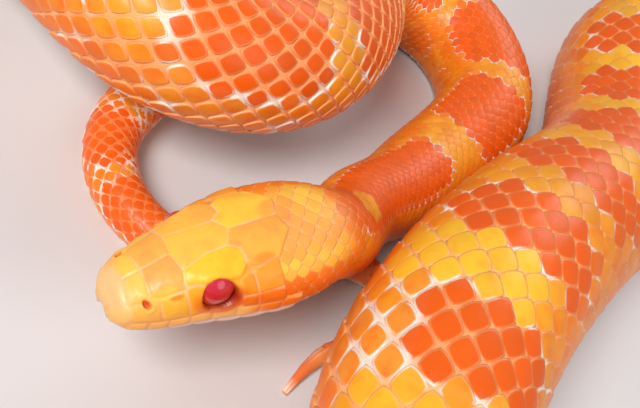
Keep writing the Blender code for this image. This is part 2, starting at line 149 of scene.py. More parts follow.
# Rows of scales round the back from a share of the length on
ROW_CHANGES = ((0.0, 27), (0.36, 23), (0.7, 21), (0.8, 19), (0.868, 17), (0.9, 15), (0.955, 11), (0.98, 7))
ROW_REACH = 132.0             # degrees: the lowest rows end here, and the belly plates start
MAIN_ROWS, TAIL_ROWS = 23, 15
COAT_START = 8.0              # no small scale lies nearer the snout
COAT_END = 0.994              # share of the length, just before the tail's tip
THROAT_END, THROAT_ROWS, THROAT_MIDDLE = 24, 5, 178  # more rows a side close the throat, up to a turn
# Length of a scale per half width of the body at 23 rows, by share of the length
SCALE_PITCH = ((0, 0.33), (0.3, 0.345), (0.45, 0.35), (1, 0.35))
SCALE_WIDTH = 0.82            # half width of a scale per row spacing
SCALE_LENGTH = 0.51           # half length of a scale per pitch
SCALE_CHANCE = (0.97, 1.03)   # range of the sizes of neighbouring scales
STRETCH_SHARE = 0.4           # how much of the skin's stretch in a bend a scale takes up itself
SCALE_TILT = 0.065            # rise of a scale's free end per row spacing
COAT_SINK = 0.15              # how far scales lie under the body's surface, per row spacing
SKIN_DEPTH = 0.2              # how far the skin lies under that surface, per row spacing
COAT_PIECES = 8

# Plates under the body and, in pairs, under the tail
BELLY_PLATES_START, BELLY_PLATE_REACH = 25.0, 52.0
TAIL_PLATES_END = 0.99        # share of the length
TAIL_PLATE_TURN, TAIL_PLATE_REACH = 24, 27.0    # middles off the bottom, and half a plate
TAIL_PLATE_STAGGER, TAIL_PLATE_SIZE = 0.25, 1.4
PLATE_LENGTH = 0.64           # half length of a plate per pitch

# Corners of a tile's outline, and its point: 1 is a diamond, 2 an oval, and more a squarer plate
TILE_SHAPES = {"scale": (16, 1.32), "plate": (24, 3.4), "under_tail": (16, 2.2)}
# Rings of a tile: radius, height and share of the pale rim
TILE_RINGS = ((1.0, -0.22, 1.0), (0.97, 0.0, 1.0), (0.87, 0.022, 0.4), (0.77, 0.034, 0.0))
TILE_CROWN = 0.045
TILE_ON_MAP, MAP_MARGIN = 0.0015, 0.02

# Grids of the skin: the body's starts a bridge behind the head's
HEAD_RINGS, HEAD_COLUMNS = 268, 304
BODY_START, BODY_RING_STEP, BODY_COLUMNS = 25.2, 2.0, 36

# Colours of the animal, blended by the named values on its meshes
ORANGE = (0.90, 0.20, 0.008)
YELLOW = (0.98, 0.56, 0.03)
RED = (0.86, 0.115, 0.003)
WHITE = (0.90, 0.80, 0.70)
RIM = (0.95, 0.46, 0.19)
# Painted shade: the dark red laid into the mouth's line, the eye sockets, under the eyes and in the nostrils
DARK = (0.30, 0.012, 0.006)
CLOUD_SCALE, GRAIN_SCALE = 420.0, 2600.0
UNEVEN = 0.24                 # how far the clouds change the shares of yellow
# Colours of the eye by the angle from its gaze, as a share of a quarter turn
EYE_RINGS = (
    (0.0, (0.50, 0.012, 0.014)), (0.2, (0.52, 0.013, 0.014)), (0.27, (0.61, 0.020, 0.018)),
    (0.46, (0.62, 0.026, 0.020)), (0.54, (0.84, 0.15, 0.03)), (0.6, (0.78, 0.10, 0.02)),
    (0.68, (0.45, 0.02, 0.01)),
)
EYE_UPPER = (0.58, 0.012, 0.045)
EYE_UPPER_MASK = ((0.52, (0, 0, 0)), (0.8, (1, 1, 1)))


def spline(points):
    """Natural cubic curve through the points, measured by their spacing in plan."""
    points = np.array(points, float)
    count = len(points)
    knots = np.r_[0, np.cumsum(np.linalg.norm(np.diff(points[:, :2], axis=0), axis=1))]
    step = np.diff(knots)
    matrix = np.eye(count)
    right = np.zeros_like(points)
    for i in range(1, count - 1):
        matrix[i, i - 1:i + 2] = step[i - 1], 2 * (step[i - 1] + step[i]), step[i]
        right[i] = 6 * ((points[i + 1] - points[i]) / step[i] - (points[i] - points[i - 1]) / step[i - 1])
    bend = np.linalg.solve(matrix, right)

    def at(where):
        i = np.clip(np.searchsorted(knots, where) - 1, 0, count - 2)
        ahead = (where - knots[i])[:, None]
        behind = (knots[i + 1] - where)[:, None]
        h = step[i][:, None]
        return (bend[i] * behind**3 / (6 * h) + bend[i + 1] * ahead**3 / (6 * h)
                + (points[i + 1] / h - bend[i + 1] * h / 6) * ahead
                + (points[i] / h - bend[i] * h / 6) * behind)

    return at, knots[-1]


def profile(table, where):
    """Smooth curve through a table of (place, value) that never swings past its values."""
    place, value = np.array(table, float).T
    step = np.diff(place)
    slope = np.diff(value) / step
    ease = np.zeros(len(place))
    ease[0], ease[-1] = slope[0], slope[-1]
    for i in range(1, len(place) - 1):
        if slope[i - 1] * slope[i] > 0:
            before, after = 2 * step[i] + step[i - 1], step[i] + 2 * step[i - 1]
            ease[i] = (before + after) / (before / slope[i - 1] + after / slope[i])
    where = np.clip(where, place[0], place[-1])
    i = np.clip(np.searchsorted(place, where) - 1, 0, len(place) - 2)
    t = (where - place[i]) / step[i]
    return ((2 * t**3 - 3 * t**2 + 1) * value[i] + (t**3 - 2 * t**2 + t) * step[i] * ease[i]
            + (3 * t**2 - 2 * t**3) * value[i + 1] + (t**3 - t**2) * step[i] * ease[i + 1])


def smooth(value, start, end):
    """0 before start, 1 past end and an even turn between them."""
    t = np.clip((value - start) / (end - start), 0, 1)
    return t * t * (3 - 2 * t)


def bell(value, middle, width, power=2):
    """1 at the middle, falling away evenly to both sides of it."""
    return np.exp(-((value - middle) / width) ** power)


class Trunk:
    """The laid-out axis and the surface round it, read by distance behind the snout."""

    def __init__(self):
        curve, span = spline(ROUTE)
        where = np.linspace(0, span, int(span / SAMPLE))
        laid = curve(where)
        self.half = profile(GIRTH, where / span)
        self.axis = np.c_[laid[:, 0] - PLAN_MIDDLE[0], laid[:, 1] - PLAN_MIDDLE[1],
                          np.maximum(laid[:, 2], 0) + BELLY * self.half]
        run = np.linalg.norm(np.diff(self.axis, axis=0), axis=1)
        self.distance = np.r_[0, np.cumsum(run)]
        self.length = self.distance[-1]
        self.back = np.gradient(self.axis, self.distance, axis=0)

    def half_width(self, s):
        return np.interp(s, self.distance, self.half)

    def read(self, values, s):
        return np.stack([np.interp(s, self.distance, column) for column in values.T], axis=-1)

    def frame(self, s):
        """Axis points with the directions left, up and tailwards at distances s."""
        back = self.read(self.back, s)
        back /= np.linalg.norm(back, axis=-1, keepdims=True)
        left = np.cross(np.array((0, 0, 1.0)), -back)
        left /= np.linalg.norm(left, axis=-1, keepdims=True)
        roll = np.radians(profile(ROLL, s / self.length))[..., None]
        left = np.cos(roll) * left - np.sin(roll) * np.cross(-back, left)
        point = self.read(self.axis, s) + np.minimum(s, 0)[..., None] * back
        return point, left, np.cross(-back, left), back

    def section(self, s, turn):
        """Across and height of the surface from the axis."""
        half, top, depth, square = (
            profile(table, s) for table in (HEAD_HALF_WIDTH, HEAD_TOP, HEAD_DEPTH, HEAD_SQUARENESS))
        sine, cosine = np.sin(np.radians(turn)), np.cos(np.radians(turn))
        across = half * np.sign(sine) * np.abs(sine) ** (2 / square)
        height = np.abs(cosine) ** (2 / square) * np.where(cosine >= 0, top, -depth)
        cap = np.sqrt(np.clip(1 - (np.minimum(s, 0) / SNOUT_CAP) ** 2, 0, 1))
        girth = self.half_width(s)
        share = smooth(s, *NECK_BLEND)
        low = np.maximum(girth * cosine, -BELLY * girth)
        return (cap * across * (1 - share) + girth * sine * share,
                cap * height * (1 - share) + low * share)

    def surface(self, s, turn, rise=0.0):
        """World points on the surface, a rise out along the section's normal."""
        s = np.asarray(s, float)
        x, z = self.section(s, turn)
        ahead, behind = self.section(s, turn + 1), self.section(s, turn - 1)
        across, height = behind[1] - ahead[1], ahead[0] - behind[0]
        size = np.hypot(across, height)
        size[size == 0] = 1
        jaw = smooth(-z, -MOUTH_LINE - JAW_EDGE, -MOUTH_LINE + JAW_EDGE)
        slide = JAW_SETBACK * np.clip(1 - s / JAW_TAPER, 0, 1) * jaw
        point, left, up, back = self.frame(s)
        return (point + (x + rise * across / size)[..., None] * left
                + (z + rise * height / size)[..., None] * up + slide[..., None] * back)

    def turn_at_height(self, s, height):
        """Turn where the head's section reaches a height from the axis."""
        top, depth, square = (float(profile(table, s)) for table in (HEAD_TOP, HEAD_DEPTH, HEAD_SQUARENESS))
        if height >= 0:
            return math.degrees(math.acos(min(1, height / top) ** (square / 2)))
        return 90 + math.degrees(math.asin(min(1, -height / depth) ** (square / 2)))

    def half_round(self, s):
        """Turns from the top to the bottom and the length round the section to each, at one distance s."""
        turns = np.linspace(0, 180, TURN_SAMPLES)
        x, z = self.section(np.full(TURN_SAMPLES, float(s)), turns)
        return turns, np.r_[0, np.cumsum(np.hypot(np.diff(x), np.diff(z)))]

    def arc(self, s, turn):
        """Length round the section from the top to a turn, at one distance s."""
        return np.sign(turn) * np.interp(np.abs(turn), *self.half_round(s))


TRUNK = Trunk()

# Saddles of the back: number from the neck, then distance behind the snout
SADDLE_PLACES = ((0, 70), (5, 157), (21, 437.2), (22, 454.4), (53, 892), (54, 901), (62, 957))
SADDLE_COUNT = 63
# Half length of a saddle per spacing, by number
SADDLE_SHARE = ((0, 0.40), (5, 0.39), (21, 0.30), (22, 0.28), (24, 0.33), (53, 0.40), (62, 0.40))
# By distance behind the snout: the turn of the saddles' middle and their half reach in degrees
SADDLE_TURN = ((0, 0), (60, 0), (157, -20), (260, -12), (437, 2), (454, -8), (600, 0), (960, 0))
SADDLE_REACH = ((0, 50), (157, 60), (437, 42), (454, 54), (780, 54), (880, 96), (960, 120))
# The same of the yellow between saddles, with its strength
YELLOW_TURN = ((0, 0), (60, 0), (157, -40), (260, -26), (445, -26), (600, 0), (960, 0))
YELLOW_REACH = ((0, 32), (157, 42), (445, 44), (780, 40), (880, 30), (960, 20))
YELLOW_SHARE = ((0, 0.6), (300, 0.75), (435, 1.0), (760, 0.5), (840, 0.1), (960, 0.1))
# By distance behind the snout: strength of the scales' pale rims
RIM_SHARE = ((0, 0.45), (60, 0.45), (150, 1.0), (700, 1.0), (860, 0.4), (960, 0.4))
NAPE = (39.0, 4.0, 16.5, 46.0)    # long first saddle: distance, turn, half length, half reach
NAPE_OVAL = (29.8, 13.0, 3.0, 25.0)  # yellow oval in it
# Small patch low on each side of a gap: half length per spacing, turn and half reach
FLANK_PATCH = (0.27, 92, 18)
FLANK_PATCHES_START = (60, 100)
NET_SADDLE, NET_REACH = 21, 12    # this saddle and those near it have the most white between scales
# Turns between which the white of the belly and of the throat takes over
BELLY_EDGE, THROAT_EDGE = (126, 140), (100, 114)
HEAD_MARKS_END = (22, 25.5)   # distances between which the head's marks give way to the body's


def wobble(s, turn, seed):
    """Even, slow noise between about -1 and 1 over the body."""
    waves = np.random.default_rng(seed)
    total = 0
    for _ in range(5):
        per_length, per_turn, start = waves.uniform(0.15, 0.6), waves.integers(2, 7), waves.uniform(0, 6.28)
        total = total + np.sin(s * per_length + np.radians(turn) * per_turn + start)
    return total / 3


def oval(s, turn, place, power=2.0):
    """0 in the middle of an oval on the surface and 1 at its edge."""
    return np.abs((s - place[0]) / place[2]) ** power + np.abs((turn - place[1]) / place[3]) ** power


def gap_yellow(s, turn, along, centres):
    """Yellow between the saddles, each gap with its own strength."""
    strength = np.random.default_rng(GAP_SEED).uniform(0.3, 1, SADDLE_COUNT + 1)
    strength = strength[np.searchsorted(centres, s)] * profile(YELLOW_SHARE, s)
    strength *= 0.2 + 0.8 * smooth(along, 0.75, 1.15)
    wide = profile(YELLOW_REACH, s)
    band = 1 - smooth(np.abs(turn - profile(YELLOW_TURN, s)), 0.7 * wide, wide + 14)
    return 0.12 + 0.85 * strength * band


def markings(s, turn):
    """Shares of yellow, red and white over the body, and how near the edge of a mark is."""
    centres = profile(SADDLE_PLACES, np.arange(SADDLE_COUNT))
    spacing = np.gradient(centres)
    half_length = profile(SADDLE_SHARE, np.arange(SADDLE_COUNT)) * spacing
    near = np.abs(np.asarray(s)[..., None] - centres).argmin(axis=-1)
    away, aside = np.abs(s - centres[near]), np.abs(turn - profile(SADDLE_TURN, s))
    along, across = away / half_length[near], aside / profile(SADDLE_REACH, s)
    ragged = 0.1 * wobble(s, turn, OUTLINE_SEED)

    # The field of each mark is 1 at its edge and less inside it
    field = np.minimum(along ** 2.6 + across ** 5, oval(s, turn, NAPE, 4.0)) + ragged
    spot = oval(s, turn, NAPE_OVAL, 2.6)
    length, low, reach = FLANK_PATCH
    flank = ((0.5 - away / spacing[near]) / length) ** 2 + ragged
    flank = flank + ((aside - low) / reach) ** 2

    saddle = (1 - smooth(field, 0.9, 1.15)) * smooth(spot, 0.85, 1.05)
    patch = (1 - smooth(flank, 0.6, 1.2)) * smooth(s, *FLANK_PATCHES_START)
    yellow = np.maximum(gap_yellow(s, turn, along, centres), 0.5 * (1 - smooth(spot, 0.7, 1.15)))
    yellow = yellow + 0.08 * wobble(s, turn, CLOUD_SEED)
    sides = smooth(across, 0.8, 0.95)
    edge = (0.9 + 0.5 * sides) * bell(field, 1.06, 0.24) + 0.5 * bell(spot, 1.1, 0.3)
    edge = edge + 0.4 * bell(flank, 1.0, 0.3)
    net = 0.2 + 0.5 * bell(s, centres[NET_SADDLE], NET_REACH)
    edge = edge + net * sides * (1 - smooth(across, 1.7, 2.1)) * bell(along, 0, 1, 4)

    belly = smooth(np.abs(turn), *BELLY_EDGE)
    checks = smooth(wobble(s * 1.3, turn * 0.7, CHECK_SEED), 0.35, 0.6)
    red = np.maximum(saddle, 0.45 * patch) * (1 - belly) + 0.5 * checks * belly
    white = 0.92 * belly * (1 - 0.6 * checks)
    return (np.clip(yellow, 0, 1) * (1 - saddle) * (1 - belly), np.clip(red, 0, 1), white,
            np.clip(edge, 0, 1) * (1 - belly))


def flecks(s, turn, edge):
    """White of the skin between scales, broken up along the edges of marks."""
    large, small = FLECK_SEEDS
    broken = 0.6 * wobble(s * 2.1, turn, large) + 0.5 * wobble(s * 3.7, turn * 2, small)
    return smooth(edge, 0.12, 0.55) * smooth(broken + 0.85 * edge, 0.1, 0.5)


# Looks of the head plates: shares of yellow, red and white
PLATE_TINTS = {
    "rostral": (0.9, 0.0, 0.22), "frontal": (0.85, 0.0, 0.06), "internasal": (0.95, 0.0, 0.12),
    "prefrontal": (0.5, 0.0, 0.10), "supraocular": (1.0, 0.0, 0.0), "parietal": (0.55, 0.0, 0.06),
    "chin_front": (0.0, 0.02, 0.95), "chin_rear": (0.0, 0.02, 0.92), "nasal": (0.8, 0.05, 0.1),
    "loreal": (0.85, 0.05, 0.04), "preocular": (0.7, 0.12, 0.0), "postocular_low": (0.2, 0.5, 0.0),
    "postocular_high": (0.5, 0.25, 0.0), "temporal_low": (0.1, 0.55, 0.0),
    "temporal_high": (0.5, 0.2, 0.02), "upper_lip": (0.85, 0.08, 0.16), "lower_lip": (0.0, 0.02, 0.93),
}
# The plates that look different on the snake's right
RIGHT_TINTS = {
    "internasal": (0.95, 0.0, 0.08), "prefrontal": (0.55, 0.0, 0.08), "supraocular": (0.6, 0.0, 0.06),
    "parietal": (0.95, 0.0, 0.03), "nasal": (0.9, 0.0, 0.1), "loreal": (0.9, 0.0, 0.04),
    "preocular": (0.8, 0.0, 0.0),
}
# Patches inside or between the plates: distance, turn, reach in distance and in turn, then the shares
HEAD_PATCHES = (
    (0.2, 0, 1.3, 62, (0.75, 0.0, 0.32)),
    (3.9, 41, 1.1, 11, (0.95, 0.0, 0.06)),
    (17.0, -4, 2.0, 11, (0.45, 0.08, 0.05)),
    (13.4, 33, 1.3, 6, (0.35, 0.2, 0.02)),
    (4.9, 52, 0.6, 4, (0.45, 0.4, 0.0)),
    (14.8, 93, 3.0, 10, (0.2, 0.5, 0.0)),
    (14.8, -93, 3.0, 10, (0.2, 0.5, 0.0)),
)
# The scaled rear of the head, in the same terms
HEAD_MARKS = (
    (18.6, 20, 3.0, 22, (0.4, 0.08, 0.1)),
    (17.4, -5, 1.9, 11, (0.3, 0.15, 0.08)),
    (19.4, -8, 1.7, 22, (0.95, 0.0, 0.04)),
    (15.8, 54, 4.6, 9, (0.92, 0.0, 0.03)),
    (19.5, 44, 2.4, 11, (0.8, 0.0, 0.04)),
    (15.0, 80, 6.5, 17, (0.05, 0.6, 0.0)),
    (15.0, -76, 6.5, 22, (0.05, 0.6, 0.0)),
    (17.0, -46, 5.5, 13, (0.25, 0.45, 0.0)),
    (23.8, 10, 2.0, 60, (0.1, 0.75, 0.0)),
)
LIPS_TOP = 0.6                # above this height the seams are pale, and below it orange
SEAM_TINT, LIP_TINT = (0.3, 0.35, 0.0), (0.0, 0.0, 0.95)
# The first is the red painted shade under each eye, the second the red in the nostrils
BLUSH_TINT, NOSTRIL_TINT = (0.1, 0.8, 0.0), (0.1, 0.85, 0.0)


def blended(first, second, share):
    return [one * (1 - share) + other * share for one, other in zip(first, second)]


def rear_markings(s, turn):
    """Shares of yellow, red and white and the nearness of edges over the rear head and the body."""
    weight = np.full(np.shape(s), 0.05)
    shares = [weight * value for value in (0.5, 0.2, 0.0)]
    for place, side, reach, spread, tints in HEAD_MARKS:
        pull = np.exp(-oval(s, turn, (place, side, reach, spread)) * 1.5)
        weight = weight + pull
        shares = [share + pull * tint for share, tint in zip(shares, tints)]
    shares = [share / weight for share in shares]
    shares = blended(shares, (0.0, 0.05, 0.9), smooth(np.abs(turn), *THROAT_EDGE))
    return blended(shares + [np.zeros(np.shape(s))], markings(s, turn), smooth(s, *HEAD_MARKS_END))


def new_object(name, data):
    thing = bpy.data.objects.new(name, data)
    bpy.context.scene.collection.objects.link(thing)
    return thing


def new_piece(name, mesh):
    """Object of a finished mesh that rides on the still body."""
    thing = new_object(name, mesh)
    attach(thing, "root")
    return thing


def mesh_of(bm, name):
    mesh = bpy.data.meshes.new(name)
    bm.to_mesh(mesh)
    bm.free()
    mesh.shade_smooth()
    return mesh


def flat_grid(name, rings, columns, size=0.5):
    bm = bmesh.new()
    bmesh.ops.create_grid(bm, x_segments=rings, y_segments=columns, size=size)
    return mesh_of(bm, name)


def places_of(mesh):
    flat = np.empty(len(mesh.vertices) * 3, np.float32)
    mesh.vertices.foreach_get("co", flat)
    return flat.reshape(-1, 3).astype(float)


def set_places(mesh, points):
    mesh.vertices.foreach_set("co", (points * MM).astype(np.float32).ravel())
    mesh.update()


def set_values(mesh, **named):
    """Named values on each point of a mesh, for the materials."""
    for name, values in named.items():
        layer = mesh.attributes.new(name, "FLOAT", "POINT")
        layer.data.foreach_set("value", np.asarray(values, np.float32).ravel())


def edge_depth(points, corners):
    """Distance from each point to a plate's rim, positive inside the plate."""
    nearest = np.full(len(points), np.inf)
    inside = np.zeros(len(points), bool)
    for start, end in zip(corners, np.roll(corners, -1, axis=0)):
        run = end - start
        if not run.any():
            continue
        share = np.clip((points - start) @ run / (run @ run), 0, 1)
        nearest = np.minimum(nearest, np.linalg.norm(points - start - share[:, None] * run, axis=1))
        if run[1]:
            crossed = (start[1] > points[:, 1]) != (end[1] > points[:, 1])
            inside ^= crossed & (points[:, 0] < start[0] + (points[:, 1] - start[1]) / run[1] * run[0])
    return np.where(inside, nearest, -nearest)


def lip_plates(seams, edge, far):
    """Corners of a row of lip plates from the mouth's edge to a far height, as distance and turn."""
    rows = []
    for front, rear in zip(seams, seams[1:]):
        near = [TRUNK.turn_at_height(s, edge) for s in (front, rear)]
        away = [TRUNK.turn_at_height(s, float(profile(far, s))) for s in (front, rear)]
        rows.append(((front, near[0]), (front, away[0]), (rear, away[1]), (rear, near[1])))
    return rows


def head_layout():
    """Every head plate's look, with its corners in distance and length round the head from the top."""
    one_side = list(PAIRED_PLATES.items())
    for name, corners in CHEEK_PLATES.items():
        one_side.append((name, [(s, TRUNK.turn_at_height(s, z)) for s, z in corners]))
    one_side += [("upper_lip", row) for row in lip_plates(UPPER_LIP_SEAMS, MOUTH_LINE, UPPER_LIP_TOP)]
    one_side += [("lower_lip", row) for row in lip_plates(LOWER_LIP_SEAMS, MOUTH_LINE, LOWER_LIP_DEPTH)]
    plates = [(PLATE_TINTS[name], corners) for name, corners in MIDDLE_PLATES.items()]
    for name, corners in one_side:
        tint = PLATE_TINTS[name]
        plates.append((tint, corners))
        plates.append((RIGHT_TINTS.get(name, tint), [(s, -turn) for s, turn in corners]))
    return [(tint, np.array([(s, TRUNK.arc(s, turn)) for s, turn in corners])) for tint, corners in plates]


def row_spacing(s):
    """Distance between neighbouring rows of scales, round the section."""
    return math.radians(2 * ROW_REACH) / MAIN_ROWS * TRUNK.half_width(s)


def head_plates(s, arc):
    """Rise of the head's plates, nearness to a seam, share of plated skin and the plates' looks."""
    points = np.c_[s, arc]
    best = np.full(len(points), -np.inf)
    second = best.copy()
    looks = np.tile(PLATE_TINTS["lower_lip"], (len(points), 1))
    for tint, corners in head_layout():
        low, high = corners.min(axis=0) - PLATE_NEAR, corners.max(axis=0) + PLATE_NEAR
        near = ((points > low) & (points < high)).all(axis=1)
        depth = np.full(len(points), -np.inf)
        depth[near] = edge_depth(points[near], corners)
        looks[depth > best] = tint
        second = np.maximum(second, np.minimum(best, depth))
        best = np.maximum(best, depth)
    best, second = np.maximum(best, -9), np.maximum(second, -9)
    apart = np.clip((best - second) / 2, 0, 3)
    plated = np.maximum(smooth(best, -0.4, 0.0), 1 - smooth(s, 9, 10.5))
    rise = plated * (PLATE_STEP * smooth(apart, -0.02, 0.28) + PLATE_DOME * smooth(apart, 0.1, 1.3))
    seam = plated * (1 - smooth(apart, 0.0, SEAM_WIDTH))
    return rise, seam, plated, looks.T


def mouth_groove(s, height):
    """Inward rise of the mouth's line and the lower jaw, the painted shade in the line and the pale of the
    lips.
    """
    line = MOUTH_LINE + MOUTH_CORNER_RISE * smooth(s, 11, 16)
    ends = 1 - smooth(s, MOUTH_END - 1.2, MOUTH_END + 0.3)
    jaw = smooth(line - height, -0.05, 0.4) * (1 - smooth(line - height, 0.8, 2.4))
    sunk = -GROOVE_DEPTH * bell(height, line, 0.2) - JAW_DEPTH * jaw
    return ends * sunk, ends * bell(height, line, 0.12), ends * bell(height, line, 0.4, 4)


def eye_opening(s, turn, height):
    """Share of an eye's opening, rise of the lid, and the painted shade under it, dark near its rim and red
    further out.
    """
    side = np.abs(turn) < SIDE_TURN
    away = np.sqrt(oval(s, height, EYE_OPENING))
    below = EYE_OPENING[1] - height
    socket = side * (1 - smooth(away, 0.86, 1.06))
    # Painted shade below the eye: dark close to its rim, and red further out
    shade = side * bell(away, 1.03, 0.13) * smooth(below, -0.9, 0.6)
    blush = side * bell(away, 1.25, 0.25) * smooth(below, -1.2, 0.8)
    return socket, LID_RISE * (side * bell(away, 1.2, 0.14)), shade, blush


def brow(s, turn):
    """Rise of the plate that stands out over each eye."""
    place, middle, length, reach = BROW
    return BROW_RISE * np.exp(-((np.abs(turn) - middle) / reach) ** 2 - ((s - place) / length) ** 4)


def nostril(s, turn, height):
    """Share of a nostril's pit, and the rise of the skin in it and round it."""
    side = np.abs(turn) < SIDE_TURN
    hole = np.hypot(s - NOSTRIL[0], height - NOSTRIL[1]) / NOSTRIL[2]
    pit = side * (1 - smooth(hole, 0.4, 1.15))
    return pit, side * (NOSTRIL_RISE * bell(hole, 1.5, 0.4)) - NOSTRIL_DEPTH * pit


def head_grid(mesh):
    """Distance, turn and length round the head of every point of its grid, evenly spaced round it."""
    grid = places_of(mesh) + 0.5
    ring = np.rint(grid[:, 0] * HEAD_RINGS).astype(int)
    share = grid[:, 1] * 2 - 1
    distances = np.linspace(-SNOUT_CAP, HEAD_LENGTH, HEAD_RINGS + 1)
    distances[0] += 0.001
    arc, turn = np.empty(len(ring)), np.empty(len(ring))
    for i, distance in enumerate(distances):
        turns, along = TRUNK.half_round(distance)
        mine = ring == i
        arc[mine] = share[mine] * along[-1]
        turn[mine] = np.sign(share[mine]) * np.interp(np.abs(arc[mine]), along, turns)
    return distances[ring], turn, arc


def skin_head():
    """Fine grid over the head, with its plates, mouth, nostrils and eye openings."""
    mesh = flat_grid("head_skin", HEAD_RINGS, HEAD_COLUMNS)
    s, turn, arc = head_grid(mesh)
    _, height = TRUNK.section(s, turn)
    rise, seam, plated, looks = head_plates(s, arc)
    sunk, dark, lips = mouth_groove(s, height)
    socket, lid, shade, blush = eye_opening(s, turn, height)
    pit, nose = nostril(s, turn, height)
    bare = (1 - plated) * smooth(s, 10, 12.5)
    rise = (rise + sunk) * (1 - socket) - SOCKET_DEPTH * socket + lid + brow(s, turn) + nose
    rise = (rise - bare * SKIN_DEPTH * row_spacing(s)) * smooth(s, -SNOUT_CAP, 0.4)
    set_places(mesh, TRUNK.surface(s, turn, rise))

    seam *= np.clip(0.7 + 0.45 * wobble(s * 3, turn * 2, SEAM_SEED), 0.3, 1)
    ragged = 0.25 * wobble(s * 4, turn * 2, PATCH_SEED)
    shares = list(looks)
    for *place, tints in HEAD_PATCHES:
        shares = blended(shares, tints, 1 - smooth(oval(s, turn, place) + ragged, 0.3, 1.5))
    shares = blended(shares, SEAM_TINT, 0.5 * seam * (height < LIPS_TOP))
    shares = blended(rear_markings(s, turn)[:3], shares, plated)
    shares = blended(shares, LIP_TINT, lips * (1 - smooth(s, 12.5, 16)))
    # Red painted shade under each eye
    shares = blended(shares, BLUSH_TINT, 0.7 * blush)
    shares = blended(shares, NOSTRIL_TINT, 0.9 * pit)
    yellow, red, white = shares
    white = np.maximum(white, 0.25 * seam * (height > LIPS_TOP))
    rim = np.maximum(seam * 0.6, bare * profile(RIM_SHARE, s)) * (1 - socket)
    # Painted shade in the mouth's line, round and under the eyes, in the sockets and in the nostrils' pits
    dark = np.clip(0.75 * dark + 0.8 * shade + socket + 0.5 * pit, 0, 1)
    set_values(mesh, yellow=yellow, red=red, white=white, rim=rim, dark=dark)
    return mesh


def skin_body():
    """Plain grid under the coat from the back of the head to the tail's tip."""
    mesh = flat_grid("body_skin", int((TRUNK.length - BODY_START) / BODY_RING_STEP), BODY_COLUMNS)
    grid = places_of(mesh) + 0.5
    s = BODY_START + grid[:, 0] * (TRUNK.length - BODY_START)
    turn = (grid[:, 1] * 2 - 1) * 180
    set_places(mesh, TRUNK.surface(s, turn, -SKIN_DEPTH * row_spacing(s)))
    yellow, red, white, edge = rear_markings(s, turn)
    white = np.maximum(white, flecks(s, turn, edge))
    # The body gets no painted shade
    rim, dark = profile(RIM_SHARE, s), np.zeros(len(s))
    set_values(mesh, yellow=yellow, red=red, white=white, rim=rim, dark=dark)
    return mesh


def skin():
    """One closed skin from the snout to the tip of the tail."""
    whole = bmesh.new()
    for mesh in (skin_head(), skin_body()):
        grid = bmesh.new()
        grid.from_mesh(mesh)
        bmesh.ops.remove_doubles(grid, verts=grid.verts, dist=0.004 * MM)
        grid.to_mesh(mesh)
        grid.free()
        whole.from_mesh(mesh)
        bpy.data.meshes.remove(mesh)
    middle = TRUNK.frame(np.array([(HEAD_LENGTH + BODY_START) / 2]))[0][0]
    ends = [edge for edge in whole.edges if edge.is_boundary]
    join = [edge for edge in ends if (edge.verts[0].co / MM - Vector(middle)).length < 8]
    bmesh.ops.bridge_loops(whole, edges=join)
    bmesh.ops.holes_fill(whole, edges=[edge for edge in whole.edges if edge.is_boundary], sides=0)
    bmesh.ops.recalc_face_normals(whole, faces=whole.faces)
    return mesh_of(whole, "skin")


def tile(name):
    """Flat scale or plate, its root at -y and its free end at +y."""
    segments, point = TILE_SHAPES[name]
    bm = bmesh.new()
    (foot, low, _), (top, high, _) = TILE_RINGS[:2]
    bmesh.ops.create_cone(bm, segments=segments, radius1=foot, radius2=top, depth=high - low, cap_ends=True)
    for vert in bm.verts:
        x, y = vert.co.xy
        size = (abs(x) ** point + abs(y) ** point) ** (-1 / point)
        radius = foot if vert.co.z < 0 else top
        vert.co = Vector((x * size * radius, y * size * radius, low if vert.co.z < 0 else high))
    bm.normal_update()
    face = max(bm.faces, key=lambda each: each.normal.z)
    outline = [vert.co / top for vert in face.verts]
    rim_layer = bm.verts.layers.float.new("rim")
    for vert in bm.verts:
        vert[rim_layer] = 1.0
    for radius, height, rim in TILE_RINGS[2:]:
        bmesh.ops.inset_individual(bm, faces=[face], thickness=0.01)
        for vert, corner in zip(face.verts, outline):
            vert.co = Vector((corner.x * radius, corner.y * radius, height))
            vert[rim_layer] = rim
    centre = bmesh.ops.poke(bm, faces=[face])["verts"][0]
    centre.co = Vector((0, 0, TILE_CROWN))
    centre[rim_layer] = 0.0
    bmesh.ops.recalc_face_normals(bm, faces=bm.faces)
    uv = bm.loops.layers.uv.new("OFBake")
    for each in bm.faces:
        for loop in each.loops:
            loop[uv].uv = loop.vert.co.xy * TILE_ON_MAP
    return mesh_of(bm, name)


def tiled(name, template, count):
    """Mesh of a tile repeated count times in one place, made by an array and applied."""
    thing = new_object(name, template)
    row = thing.modifiers.new("row", "ARRAY")
    row.count = count
    row.use_relative_offset = False
    row.use_constant_offset = False
    graph = bpy.context.evaluated_depsgraph_get()
    graph.update()
    mesh = bpy.data.meshes.new_from_object(thing.evaluated_get(graph))
    bpy.data.objects.remove(thing, do_unlink=True)
    mesh.name = name
    return mesh


def spread_on_map(mesh, s, turn):
    """Give each tile of a piece its own place on the piece's map."""
    uv = mesh.uv_layers["OFBake"]
    flat = np.empty(len(mesh.loops) * 2, np.float32)
    uv.data.foreach_get("uv", flat)
    flat = flat.reshape(len(s), -1, 2)
    first, last = s.min(), s.max()
    room = 1 - 2 * MAP_MARGIN
    flat[..., 0] += (MAP_MARGIN + room * (s - first) / (last - first))[:, None]
    flat[..., 1] += (MAP_MARGIN + room * (turn % 360) / 360)[:, None]
    uv.data.foreach_set("uv", flat.ravel())


